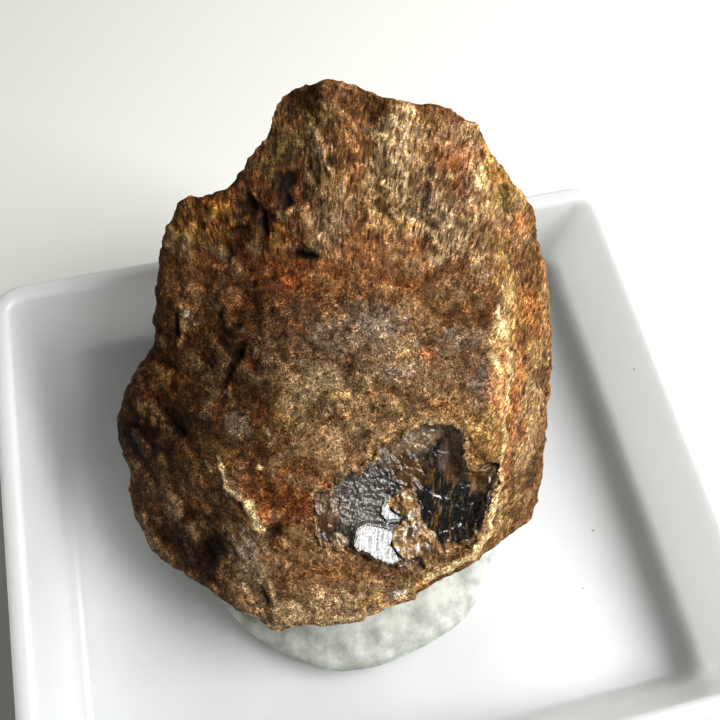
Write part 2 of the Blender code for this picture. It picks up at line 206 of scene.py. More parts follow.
# patches of colour: middle, half width, half height, turn in degrees, colour, strength
patches = [
    # the broad ones, and the darker and paler places on them
    # the first, broadest bark patch darkens the whole left side: partly the rind's darker colour, partly painted
    # shade on the side away from the lamp
    ((-14, -2), 9, 23, 0, "bark", 0.7), ((-17, -9), 2.2, 4.5, 8, "soot", 0.5),
    ((-6.5, -3.0), 4.2, 7.5, 12, "bark", 0.7), ((-5, 15), 4.5, 6.5, -30, "bark", 0.3),
    ((-7.2, 12.6), 2.0, 3.2, -35, "bark", 0.5), ((-4.6, 15.5), 1.4, 3.0, -10, "bark", 0.7),
    ((-4.4, 15.8), 0.8, 1.6, -10, "soot", 0.35), ((2.7, 11.2), 1.3, 2.2, 0, "umber", 0.5),
    ((0.3, 13.2), 1.2, 1.0, 0, "umber", 0.4), ((-5.5, 15.5), 2.4, 5.0, -30, "olive", 0.35),
    ((-12, -8), 6, 3.4, 0, "soot", 0.35), ((-11, -16), 6, 5, -30, "soot", 0.3),
    ((1, -1), 8, 6, 15, "dust", 0.6), ((6.5, -2), 6, 5, 0, "dust", 0.5),
    ((-4, -6), 3.5, 4, 0, "olive", 0.3), ((2, -6.5), 6, 3.2, 20, "tan", 0.7),
    ((11.9, -6.2), 1.9, 2.6, 0, "gold", 0.6), ((5, -3.5), 3, 1.6, 0, "tan", 0.5),
    ((8.5, 5.6), 1.6, 2.4, 0, "tan", 0.5), ((0.2, 1.0), 1.6, 2.6, 0, "tan", 0.5),
    ((4.6, -5.2), 4, 1.6, 32, "cream", 0.45), ((8.5, 9.5), 3.6, 3.4, 0, "tan", 0.8),
    ((-4.9, -4.6), 2.0, 3.4, 20, "bark", 0.7), ((-2.6, 2.4), 1.8, 2.4, -40, "bark", 0.45),
    ((-10.0, -4.6), 1.8, 1.6, 0, "bark", 0.6), ((-8.5, -1.0), 1.2, 2.6, -15, "soot", 0.55),
    ((-15.2, -9.4), 1.7, 3.0, 0, "soot", 0.55), ((-10.6, -19.2), 3.4, 1.1, -25, "bark", 0.6),
    ((-7.6, 14.2), 1.2, 6.8, -32, "bark", 0.4), ((-3.8, 19.4), 1.5, 2.0, -30, "bark", 0.7),
    ((-13.4, -9.4), 1.2, 1.4, 0, "bark", 0.5), ((-5.2, 5.2), 1.6, 1.6, 0, "bark", 0.5),
    ((-4.5, 17.3), 0.9, 2.2, -6, "soot", 0.35), ((-5.0, 11.8), 0.9, 3.0, -6, "soot", 0.5),
    ((-10.6, 5.4), 1.8, 1.8, 0, "rust", 0.7), ((1.8, 9.8), 1.5, 1.3, 0, "umber", 0.5),
    ((5.6, 11.2), 1.5, 2.2, -20, "cream", 0.6), ((2.6, 16.6), 1.1, 1.8, 0, "cream", 0.6),
    ((10.7, 9.0), 1.2, 1.8, 0, "gold", 0.5), ((12.3, 2.2), 0.8, 1.5, 0, "gold", 0.6),
    ((14.6, -12.2), 0.8, 2.2, 0, "cream", 0.6), ((2.5, 6.6), 8, 2.8, -5, "rust", 0.65),
    ((-4, 5.5), 3, 2.4, 0, "rust", 0.4), ((6, -4.3), 7, 2.6, 10, "ochre", 0.35),
    ((-1.5, -2.5), 3.2, 2.6, 0, "cream", 0.25), ((1, -18), 7, 3.0, 8, "tan", 0.7),
    ((1.0, -17.8), 4.5, 1.3, 8, "rust", 0.6), ((-3, -12), 4, 3.2, 0, "brick", 0.6),
    ((2, -13), 3.5, 3, 0, "rust", 0.3), ((15.8, 0), 2.8, 12, 0, "ochre", 0.8),
    ((16.5, -5), 2.5, 8, 0, "tan", 0.6), ((3, -21.3), 8, 2.2, 12, "cream", 0.5),
    ((-4, -20.6), 5, 2.2, -25, "tan", 0.7), ((-5.5, -17.7), 2.0, 2.2, 0, "cream", 0.45),
    ((-3.4, -7.4), 1.4, 1.2, 0, "tan", 0.6), ((-1.8, 8.4), 1.0, 1.6, 20, "tan", 0.6),
    # upper left
    ((-7.8, 9.8), 1.6, 2.2, 15, "soot", 0.6), ((-8.9, 7.0), 1.0, 1.6, 10, "soot", 0.55),
    ((-4.8, 11.6), 0.8, 2.4, -8, "soot", 0.7), ((-2.6, 12.0), 1.1, 5.5, 0, "tan", 0.7),
    ((-9.4, 10.8), 1.8, 0.7, 20, "bark", 0.6), ((-6.6, 8.8), 1.0, 0.9, 0, "soot", 0.7),
    ((-7.3, 10.2), 1.3, 1.8, 20, "soot", 0.7), ((-6.0, 9.6), 0.7, 1.6, 10, "soot", 0.8),
    ((-8.2, 8.3), 1.3, 0.7, 10, "soot", 0.8), ((-6.4, 7.6), 1.2, 0.5, -20, "soot", 0.7),
    ((-2.8, 7.3), 2.0, 0.6, 5, "soot", 0.7), ((-7.0, 7.0), 0.8, 0.5, 0, "cream", 0.5),
    ((-11.4, 9.0), 3.0, 1.6, 0, "ochre", 0.6), ((-9.6, 9.8), 1.2, 1.6, 0, "ochre", 0.5),
    ((-4.1, 4.6), 0.6, 0.6, 0, "orange", 0.6), ((-1.2, 9.7), 1.7, 2.8, 0, "dust", 0.7),
    ((-7.5, 11.8), 0.9, 1.6, -30, "rust", 0.5), ((-1.2, 12.4), 1.2, 2.2, 0, "gold", 0.3),
    ((-1.0, 9.6), 0.9, 2.2, -5, "tan", 0.6), ((7.1, 9.9), 0.9, 1.1, 0, "cream", 0.6),
    ((-2.5, 12.2), 0.8, 2.2, -8, "tan", 0.5), ((11.6, 8.8), 0.9, 1.0, 0, "gold", 0.5),
    ((6.9, 4.8), 0.9, 1.2, 0, "tan", 0.6), ((-1.4, -15.2), 1.6, 1.2, 0, "tan", 0.5),
    # upper right
    ((6.5, 13.0), 5.0, 5.0, 0, "tan", 0.35), ((2.6, 14.0), 1.8, 5.0, -4, "gold", 0.4),
    ((3.0, 14), 1.7, 5.2, -6, "cream", 0.8), ((3.9, 10), 1.4, 2.5, -6, "cream", 0.5),
    ((0.3, 15), 0.8, 3.5, -3, "rust", 0.5), ((5.5, 14.2), 0.5, 2.6, -6, "bark", 0.3),
    ((7.4, 15.2), 2.0, 1.6, 0, "orange", 0.6), ((8.2, 13.4), 0.8, 2.4, 15, "brick", 0.7),
    ((9.8, 14.0), 0.5, 0.9, -15, "cream", 0.5), ((10.3, 16.3), 1.2, 0.9, 0, "gold", 0.7),
    ((12.0, 14.4), 2.8, 3.0, 0, "gold", 0.75), ((12.0, 12.6), 1.4, 1.2, 0, "olive", 0.8),
    ((13.8, 10.8), 1.1, 0.9, 0, "orange", 0.7), ((12.8, 9.6), 1.2, 1.0, 0, "ochre", 0.6),
    ((7.6, 11.4), 2.0, 1.4, 0, "dust", 0.5), ((9.6, 10.6), 1.6, 1.0, -20, "rust", 0.5),
    ((4.4, 10.0), 1.4, 0.35, -8, "gold", 0.6), ((7.8, 9.4), 2.2, 0.9, 10, "cream", 0.55),
    ((4.0, 8.8), 1.9, 0.8, 0, "brick", 0.5), ((7.2, 8.0), 1.0, 0.8, 0, "cream", 0.6),
    ((8.6, 7.2), 0.9, 0.7, 0, "rust", 0.6), ((10.6, 7.5), 1.0, 1.8, 0, "dust", 0.5),
    ((7.6, 4.8), 0.28, 1.3, -12, "gold", 0.75), ((9.6, 3.6), 1.6, 0.9, 20, "bark", 0.4),
    ((6.7, 3.8), 1.4, 1.4, 0, "ochre", 0.4), ((10.9, 4.6), 0.8, 1.8, 10, "bark", 0.4),
    ((9.3, 1.6), 2.4, 1.2, 20, "lilac", 0.6),
    # the middle and the left
    ((-12.0, 3.0), 2.4, 4.0, 0, "umber", 0.6), ((-11.0, 8.6), 3.4, 2.2, 0, "ochre", 0.5),
    ((-7.0, -6.8), 1.4, 1.2, 0, "dust", 0.3), ((2.5, -6.2), 1.6, 0.9, 20, "cream", 0.4),
    ((-12.5, 3.2), 1.6, 1.8, 0, "rust", 0.4), ((7.3, 16.2), 1.4, 1.0, 0, "tan", 0.4),
    ((-11.8, -13.2), 1.8, 1.4, 0, "dust", 0.45), ((-5.6, -16.8), 1.2, 1.2, 0, "cream", 0.35),
    ((3.1, 2.6), 2.8, 1.5, 10, "lilac", 0.6), ((-12, 1.5), 0.2, 0.3, 0, "white", 0.8),
    ((-12, 0.8), 0.6, 1.2, 0, "dust", 0.4), ((-8.2, 3.0), 1.3, 1.0, 0, "rust", 0.6),
    ((-6.0, -0.6), 0.25, 0.25, 0, "paleGold", 0.8), ((-13.2, -3.6), 2.4, 2.6, 0, "ochre", 0.25),
    ((-15.2, -5.6), 1.2, 1.0, 0, "brick", 0.5), ((-15.9, -6.7), 0.25, 0.55, 25, "paleGold", 0.9),
    ((-7.2, -6.5), 1.1, 0.9, 0, "lilac", 0.55), ((-5.4, -5.6), 0.7, 1.8, 0, "brick", 0.5),
    ((-3.6, -5.6), 1.0, 1.0, 0, "gold", 0.3), ((-4.4, -7.1), 0.8, 0.2, -35, "cream", 0.5),
    ((0.3, -3.5), 1.6, 0.5, 15, "gold", 0.65), ((-0.6, 0.8), 1.6, 1.3, 0, "lilac", 0.5),
    ((-1.2, -0.9), 0.6, 1.4, 10, "bark", 0.6), ((4.6, -1.2), 1.0, 0.8, 0, "lilac", 0.5),
    ((5.4, 0.0), 1.5, 0.7, 30, "ochre", 0.5), ((5.6, -0.7), 0.8, 0.35, 40, "paleGold", 0.6),
    ((7.2, 0.4), 0.7, 0.5, 0, "orange", 0.6), ((3.6, -5.0), 1.2, 0.9, 0, "brick", 0.4),
    ((11.6, -1.5), 1.2, 2.8, 0, "lilac", 0.5), ((8.6, -3.7), 2.5, 0.9, 5, "rust", 0.35),
    ((-5.0, -9.8), 0.3, 0.2, 0, "paleGold", 0.9), ((-4.6, -8.6), 1.2, 0.7, 0, "bark", 0.55),
    ((12.4, -4.8), 0.5, 0.6, 0, "bark", 0.5), ((11.4, -6.8), 1.8, 0.7, 0, "rust", 0.35),
    # below and the lower left
    ((-9.5, -9.8), 3.0, 2.2, -20, "ochre", 0.4), ((-11.5, -12.8), 2.4, 1.6, -20, "umber", 0.6),
    ((-4.3, -13.3), 0.6, 0.9, 20, "orange", 0.7), ((-2.3, -15.4), 0.9, 0.8, 0, "gold", 0.6),
    ((0.4, -15.9), 2.6, 0.35, 3, "gold", 0.6), ((-5.9, -17.0), 1.6, 1.5, 0, "lilac", 0.65),
    ((-5.0, -19.0), 1.4, 1.7, 0, "cream", 0.4), ((-8.9, -18.1), 2.3, 1.6, 0, "soot", 0.75),
    ((-7.3, -16.5), 0.9, 1.2, 0, "soot", 0.7), ((-12.6, -17.0), 2.2, 1.8, 0, "soot", 0.45),
    ((-1.2, -21.3), 1.8, 1.1, 0, "cream", 0.5), ((6.7, -19.0), 0.8, 0.4, 20, "white", 0.4),
    ((6.4, -17.5), 1.2, 0.7, 10, "bark", 0.6), ((3.8, -20.4), 1.4, 0.7, 10, "bark", 0.6),
    ((2.4, -17.6), 1.0, 0.5, 0, "ochre", 0.6), ((5.0, -19.6), 1.3, 0.6, 20, "gold", 0.5),
    ((-10.5, -14.0), 1.6, 1.2, 0, "rust", 0.5), ((-13.5, -11.5), 1.8, 1.4, 0, "olive", 0.4),
    ((-2.6, -19.3), 0.6, 2.4, 6, "bark", 0.7), ((-9.9, -16.5), 1.1, 1.3, 0, "tan", 0.8),
    ((1.0, -14.6), 0.9, 0.8, 0, "gold", 0.5), ((-15.0, -6.9), 1.5, 1.0, -10, "tan", 0.8),
    ((15.0, -12.4), 0.8, 2.2, 0, "gold", 0.6), ((16.2, -7.8), 1.0, 1.8, 0, "tan", 0.5),
    ((-12.5, -15.4), 0.9, 1.0, 0, "tan", 0.5),
    # the right flank
    ((12.9, -1.5), 0.9, 4.5, -8, "gold", 0.6), ((12.8, 4.0), 0.8, 2.6, -5, "paleGold", 0.5),
    ((17.6, -9.4), 0.8, 1.9, 0, "soot", 0.75), ((15.6, -5.8), 0.6, 1.0, -15, "brick", 0.7),
    ((14.6, -1.4), 0.7, 3.6, 0, "orange", 0.5), ((13.9, 7.6), 0.5, 2.2, 0, "brick", 0.5),
    ((15.2, 4.8), 0.9, 1.8, 0, "orange", 0.5), ((13.3, 4.6), 0.7, 2.6, 0, "gold", 0.7),
    ((14.6, 9.4), 0.9, 1.6, 0, "bark", 0.5), ((16.3, 3.0), 0.8, 2.2, 0, "rust", 0.45),
]

stainsAndShade = [  # where the rind is darker and deeper in colour, partly stained and partly painted shade, mostly on its left: middle, half width, half height, turn, depth
    ((-13.6, -3.4), 2.4, 3.0, 0, 0.35), ((-14.2, -8.6), 3.4, 3.0, 0, 0.32),
    ((-10.0, -4.8), 1.8, 2.0, 0, 0.1), ((-6.2, -4.4), 2.6, 4.2, 12, 0.18), ((-6.6, 3.2), 2.2, 2.0, 0, 0.25),
    ((-8.4, -1.0), 1.4, 3.2, -15, 0.3), ((-5.0, 11.6), 1.2, 4.0, -8, 0.25),
    ((-4.0, 18.6), 1.4, 2.2, -20, 0.2), ((-10.4, 9.9), 3.4, 1.4, 20, 0.25), ((2.2, 9.8), 2.0, 1.6, 0, 0.25),
    ((-1.2, 4.4), 1.6, 2.0, 0, 0.3), ((-4.6, 5.2), 2.2, 1.6, 0, 0.3), ((-10.2, -19.2), 3.6, 1.3, -25, 0.3),
    ((-9.5, -17.4), 3.0, 2.2, -20, 0.25), ((2.6, 11.0), 1.0, 2.4, 0, 0.3), ((-3.0, 8.8), 0.8, 2.2, 10, 0.3),
    ((-9.6, 9.0), 2.4, 1.8, 0, 0.2), ((5.4, 9.0), 1.8, 1.0, -20, 0.2), ((13.9, -3.6), 1.2, 2.4, 0, 0.2),
    ((12.0, 14.0), 2.0, 1.6, -30, 0.2), ((-3.9, -1.2), 1.1, 3.8, 0, 0.3),
    ((11.8, 13.8), 1.6, 1.6, -30, 0.3), ((15.4, 1.6), 1.4, 4.5, 0, 0.15), ((-8.2, 3.0), 1.6, 1.4, 0, 0.25),
    ((-7.2, -6.4), 1.4, 1.2, 0, 0.2), ((-8.4, 11.4), 2.6, 1.6, 35, 0.2), ((4.4, -6.4), 1.8, 1.0, 25, 0.2),
    ((-7.6, 8.8), 2.2, 2.4, 0, 0.3), ((-2.8, 7.0), 1.7, 0.8, 0, 0.3), ((-4.8, 11.6), 0.9, 2.6, -8, 0.25),
    ((8.4, 0.6), 2.2, 1.2, 20, 0.2), ((2.0, -0.6), 1.6, 1.0, 30, 0.2), ((-2.5, -12.6), 2.6, 1.8, 0, 0.2),
    ((-7.0, 8.9), 1.6, 2.0, 0, 0.2), ((4.0, 5.2), 2.0, 1.2, 0, 0.15),
]

# thin lines of colour and relief: points, half width, colour, strength, height
strands = [
    ([(12.2, 4.4), (12.6, 3.0), (12.9, 2.0)], 0.16, "paleGold", 0.6, 0.12),
    ([(11.8, 0.7), (12.4, 0.1), (12.8, -1.0), (13.0, -1.6), (12.9, -2.6)], 0.18, "paleGold", 0.65, 0.05),
    ([(13.3, 1.3), (13.6, -0.9), (13.7, -2.5), (13.8, -3.8)], 0.14, "paleGold", 0.65, 0.05),
    ([(13.9, 3.5), (13.8, 1.8), (14.3, 0.9), (15.0, 0.0)], 0.12, "gold", 0.7, 0.12),
    ([(12.9, -2.6), (13.3, -3.9), (13.8, -5.2), (13.9, -6.3), (13.9, -7.9), (14.2, -9.4)],
     0.17, "paleGold", 0.7, 0.06),
    ([(14.2, -9.4), (14.0, -10.3), (13.8, -12.3), (13.7, -13.6)], 0.22, "paleGold", 0.7, 0.1),
    ([(13.4, -8.6), (13.6, -10.5), (13.5, -12.4)], 0.16, "cream", 0.6, 0.1),
    ([(13.7, -13.6), (12.5, -15.4), (10.5, -16.8), (8.9, -17.6)], 0.28, "paleGold", 0.6, 0.08),
    ([(8.9, -17.6), (7.3, -19.2), (5.7, -20.4), (3.9, -21.7)], 0.25, "gold", 0.6, 0.08),
    (vein[:3], 0.15, "paleGold", 0.7, 0.12),
    (vein[2:5], 0.26, "cream", 0.75, 0.18),
    (vein[4:], 0.42, "paleGold", 0.75, 0.18),
    ([(-9.6, -10.0), (-9.0, -10.8)], 0.1, "cream", 0.6, 0.06),
    ([(13.0, 0.4), (13.0, -2.3), (13.4, -4.2)], 0.4, "orange", 0.5, 0.0),
    ([(12.2, -0.4), (12.4, -2.4), (12.9, -3.4)], 0.25, "orange", 0.5, 0.0),
    ([(14.4, -5.6), (14.5, -8.4), (14.3, -9.6)], 0.25, "orange", 0.5, 0.0),
]

pits = [  # hollows, darkened partly as the rind's dark specks and partly as painted shade: middle, half width, half height, turn, depth
    ((-4.7, 11.8), 0.6, 2.4, -8, 0.5), ((-7.6, 10.5), 0.6, 1.2, 25, 0.4),
    ((-6.3, 9.2), 0.45, 1.3, 10, 0.45), ((-8.3, 8.3), 1.0, 0.5, 10, 0.4), ((-8.9, 6.6), 0.5, 1.0, 20, 0.4),
    ((-2.9, 7.0), 1.5, 0.5, 0, 0.5), ((6.0, 8.9), 0.3, 1.3, -15, 0.3), ((5.7, 12.6), 0.3, 3.0, -6, 0.2),
    ((-7.5, -1.2), 0.55, 1.5, -24, 0.6), ((-8.3, -3.0), 0.5, 1.6, -15, 0.6),
    ((-12.4, -8.2), 0.8, 0.5, 0, 0.3), ((-8.9, -18.2), 1.2, 0.9, 0, 0.35),
    ((-3.5, -14.9), 0.8, 0.7, 0, 0.35), ((-3.9, -20.6), 0.45, 1.8, 8, 0.3), ((-9.2, 1.8), 0.5, 0.4, 0, 0.3),
    ((-7.9, 1.0), 0.6, 0.4, 0, 0.3), ((-6.7, 4.4), 0.6, 0.5, 0, 0.3), ((-12.9, 0.4), 0.35, 1.4, 0, 0.3),
    ((-5.0, 2.6), 0.3, 0.6, 20, 0.2), ((9.6, 9.6), 0.25, 1.0, -10, 0.15),
]

fresh = {  # the fresh break: a bowl that the rind's edge stands round
    "middle": (7.0, -9.8),
    "depth": 2.3,
    "shallowest": 0.45,
    "radii": (7.2, 6.8),
    "edge": 0.2,  # width of the step down from the rind
    "rindRing": (0.6, 2.5),  # the rind this far outside the break carries its height on over it
    "blackFrom": 8.1,
    "blackFades": (13.0, 13.6),
    "blackDepth": 1.9,
    "blackLean": 0.12,  # run per rise
    "chipsLift": 0.3,
    "blackFlakes": [(1.5, 0.05), (0.6, 0.03)],
    "greyFlakes": [(0.9, 0.25), (0.4, 0.12)],
    "chipFlakes": [(0.9, 0.45), (0.45, 0.2)],
    "striaeCentre": (14.9, -14.2),  # the break started here
}
glarePlanes = [  # flat facets in the break: outline, slope over x and over y, and lift
    ([(3.1, -13.9), (4.0, -13.6), (5.8, -14.0), (6.0, -15.1), (7.1, -16.4), (7.0, -17.2), (5.3, -17.2),
      (3.9, -16.4), (2.9, -15.0)], -0.37, -0.45, 0.35),
    ([(5.1, -12.0), (6.0, -12.2), (6.3, -13.3), (5.5, -13.4), (4.9, -12.8)], -0.37, -0.43, 0.1),
]
# a heap of loose chips in the middle of the break
chipsOutline = [
    (5.4, -11.8), (6.2, -11.2), (7.2, -10.7), (7.6, -11.7), (8.3, -13.5), (9.8, -15.1), (10.0, -16.0),
    (8.7, -16.8), (8.1, -15.8), (7.1, -16.3), (5.9, -15.2), (5.9, -14.1), (6.9, -13.1), (5.5, -12.4),
]
# patches of colour in the break, as the rind's
breakPatches = [
    ((2.5, -12.0), 3.4, 3.0, 20, "steel", 0.9), ((5.5, -7.4), 3.8, 2.2, 35, "steel", 0.9),
    ((6.9, -6.6), 3.0, 1.3, 28, "tan", 0.75), ((7.2, -6.1), 2.4, 0.6, 25, "lilac", 0.8),
    ((4.4, -8.2), 1.5, 0.7, 45, "lilac", 0.6), ((8.7, -5.3), 1.4, 0.7, 10, "dust", 0.7),
    ((7.6, -6.5), 1.6, 0.8, 30, "beige", 0.45), ((9.8, -7.6), 1.0, 2.0, 0, "lilac", 0.55),
    ((1.7, -15.0), 0.9, 0.6, -10, "beige", 0.7), ((9.2, -5.6), 1.2, 0.8, 20, "umber", 0.6),
    ((0.5, -13.2), 1.2, 2.0, 0, "umber", 0.8), ((0.4, -12.6), 0.5, 1.4, 30, "beige", 0.4),
    ((6.9, -9.5), 1.8, 1.6, -20, "amber", 0.95), ((9.4, -15.4), 1.4, 0.6, -20, "amber", 0.9),
    ((10.8, -15.2), 0.8, 0.5, 0, "ochre", 0.7), ((12.7, -10.0), 0.6, 1.3, 0, "lilac", 0.7),
    ((13.2, -12.4), 0.5, 1.8, -15, "umber", 0.3), ((12.6, -9.9), 0.8, 1.0, 0, "tan", 0.6),
    ((7.3, -16.5), 1.2, 0.4, 0, "umber", 0.7), ((12.2, -9.0), 1.2, 0.8, 10, "ochre", 0.75),
    ((10.4, -9.2), 0.9, 1.1, 0, "umber", 0.7), ((10.2, -6.6), 0.5, 1.4, 0, "lilac", 0.5),
]
goldLines = [  # thin golden seams in the black glass
    [(8.4, -7.9), (9.0, -11.5), (9.4, -14.8)],
    [(9.5, -6.0), (10.1, -10.0), (10.8, -15.5)],
    [(9.9, -5.7), (10.3, -8.1)],
    [(9.0, -10.1), (9.5, -12.3), (9.4, -13.7)],
]


def inStoneFrame(points):  # world metres to the stone's own millimetres
    back = np.array(toStone.inverted())
    return (points @ back[:3, :3].T + back[:3, 3]) / mm


def outOfStoneFrame(place):
    there = np.array(toStone)
    return (place * mm) @ there[:3, :3].T + there[:3, 3]


def halveEdges(bm, faces):  # four faces from each
    edges = list({e for f in faces for e in f.edges})
    bmesh.ops.subdivide_edges(bm, edges=edges, cuts=1, use_grid_fill=True)


def evenStone():  # the CAD stone on an even grid, finer on its broad face and in the break
    bm = bmesh.new()
    bm.from_mesh(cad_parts["betafite"].data)
    bmesh.ops.remove_doubles(bm, verts=bm.verts, dist=0.001 * mm)
    mesh = bpy.data.meshes.new("evenStone")
    bm.to_mesh(mesh)
    bm.free()
    bm = bmesh.new()
    bm.from_mesh(applied(mesh, "REMESH", mode="VOXEL", voxel_size=stone["evenGrid"] * mm))
    smooth = dict(factor=0.5, use_axis_x=True, use_axis_y=True, use_axis_z=True)
    for _ in range(stone["evenSmoothing"]):
        bmesh.ops.smooth_vert(bm, verts=bm.verts, **smooth)
    outOfFace = toStone.to_3x3() @ Vector((0, 0, 1))
    bm.normal_update()
    faceSide = [f for f in bm.faces if f.normal.dot(outOfFace) > 0.05]
    halveEdges(bm, faceSide)
    for _ in range(stone["faceSmoothing"]):
        bmesh.ops.smooth_vert(bm, verts=bm.verts, **smooth)
    x, y, z = inStoneFrame(np.array([f.calc_center_median()[:] for f in bm.faces])).T
    nearBreak = (insideOf(x, y, breakOutline) > -stone["breakMargin"]) & (z > -stone["faceDepth"])
    halveEdges(bm, [f for f, near in zip(bm.faces, nearBreak) if near])
    return bm


def alongFibres(place):  # across the fibres, along them, and out of the face
    x, y, z = place.T
    middleX, middleY = stone["fibreMiddle"]
    across = np.arctan2(x - middleX, y - middleY) * stone["fibreReach"]
    return np.stack([across, np.hypot(x - middleX, y - middleY), z], -1)


def isBlack(place):  # share of the break's black right side
    x, y, z = place.T
    ragged = 0.3 * noiseAt(place, 1.1, 6.0)
    return ramp(-0.15, 0.15, x - fresh["blackFrom"] + ragged) * (1 - ramp(*fresh["blackFades"], x))


def isGlaring(place):  # share of the flat facets that glare
    x, y, z = place.T
    ragged = 0.15 * noiseAt(place, 0.6, 16.0)
    return np.maximum.reduce([ramp(-0.1, 0.1, insideOf(x, y, outline) + ragged) for outline, *_ in glarePlanes])


def isChips(place):  # share of the loose honey and beige chips
    ragged = 0.2 * noiseAt(place, 0.6, 4.0)
    return ramp(-0.08, 0.08, insideOf(place[:, 0], place[:, 1], chipsOutline) + ragged)


def rindOver(place, distance, facing):  # the face's height carried on over the break, from the rind round it
    x, y, z = place.T
    near, far = fresh["rindRing"]
    around = (distance > -far) & (distance < -near) & (facing > 0.3) & (z > -stone["faceDepth"])
    terms = np.stack([np.ones(len(x)), x, y, x * x, x * y, y * y], -1)
    return terms @ np.linalg.lstsq(terms[around], z[around], rcond=None)[0]


def breakFloor(place, inside, rind):  # the break's new height
    x, y, z = place.T
    flat = place * (1, 1, 0)

    def bowlAt(x, y):  # depth of the conchoidal bowl
        (middleX, middleY), (radiusX, radiusY) = fresh["middle"], fresh["radii"]
        return fresh["depth"] * (1 - ((x - middleX) / radiusX) ** 2 - ((y - middleY) / radiusY) ** 2)

    def flaked(sizes, seed):
        return sum(tall * flakesAt(flat, size, seed) for size, tall in sizes)

    black, chips = isBlack(place), isChips(place)
    bowl = np.maximum(bowlAt(x, y), fresh["shallowest"])
    trough = fresh["blackDepth"] * ramp(-0.3, 1.3, inside) - fresh["blackLean"] * (x - fresh["blackFrom"])
    floor = rind - mix(bowl, trough, black) + (1 - black) * flaked(fresh["greyFlakes"], 3.0)
    for outline, runX, runY, lift in glarePlanes:
        middleX, middleY = np.mean(outline, 0)
        level = rind[np.argmin(np.hypot(x - middleX, y - middleY))] - bowlAt(middleX, middleY) + lift
        plane = level + runX * (x - middleX) + runY * (y - middleY)
        floor = mix(floor, plane, ramp(-0.3, 0.05, insideOf(x, y, outline) + 0.1))
    floor += black * flaked(fresh["blackFlakes"], 7.0)
    floor += chips * (fresh["chipsLift"] + flaked(fresh["chipFlakes"], 11.0))
    return mix(z, mix(rind, floor, ramp(0, fresh["edge"], inside)), ramp(-0.3, 0.1, inside))


def crumbsOf(place, glassy):  # the rind's fine relief
    fine = sum(tall * noiseAt(place, size, 3.1 * size) for size, tall in stone["crumbs"])
    fine += sum(tall * flakesAt(place, size, 2.3 * size) for size, tall in stone["flakes"])
    return fine * (1 - glassy)


def pitsOf(place):  # share of hollow, painted dark partly as shade, and its depth
    x, y, z = place.T
    wavy = 0.3 * noiseAt(place, 0.9, 41.0)
    hollow, deep = np.zeros(len(place)), np.zeros(len(place))
    for middle, halfWidth, halfHeight, turn, depth in pits:
        near = spot(x + wavy, y + wavy, middle, halfWidth, halfHeight, turn)
        share = 1 - ramp(0.2, 1.1, near + 0.5 * wavy)
        hollow, deep = np.maximum(hollow, share), np.maximum(deep, depth * share)
    onFace = ramp(*stone["marksFade"], z)
    return hollow * onFace, deep * onFace


def wavering(place):  # bends the thin lines
    return 0.15 * noiseAt(place, 0.8, 40.0)


def reliefOf(place, fibres, fibrous, glassy, crumbs, deep):  # height to add along the normal
    x, y, z = place.T
    height = sum(tall * noiseAt(place, size, 3.1 * size) for size, tall in stone["lumps"])
    size, tall = stone["fibreRelief"]
    height = (height + tall * fibrous * noiseAt(fibres, size, 30.0)) * (1 - 0.95 * glassy) + crumbs - deep
    wavy = wavering(place)
    for points, halfWidth, _, _, tall in strands:
        height += tall * ramp(*stone["marksFade"], z) * np.exp(-(lineDistance(x + wavy, y, points) / halfWidth) ** 2)
    return height


def paint(tone, colour, share):
    tone[:] = mix(tone, np.array(linear(palette[colour])[:3]), np.clip(share, 0, 1)[:, None])


def grainsOf(place):  # smooth noise in three sizes, and shifts that make a patch's edge wander
    fine, finer, finest = noiseAt(place, 1.7, 51.0), noiseAt(place, 0.8, 52.0), noiseAt(place, 0.45, 53.0)
    warpX = 0.9 * fine + 0.45 * finer + 0.25 * finest
    warpY = 0.9 * noiseAt(place, 1.7, 56.0) + 0.45 * noiseAt(place, 0.8, 57.0) + 0.25 * finest
    return fine, finer, finest, warpX, warpY


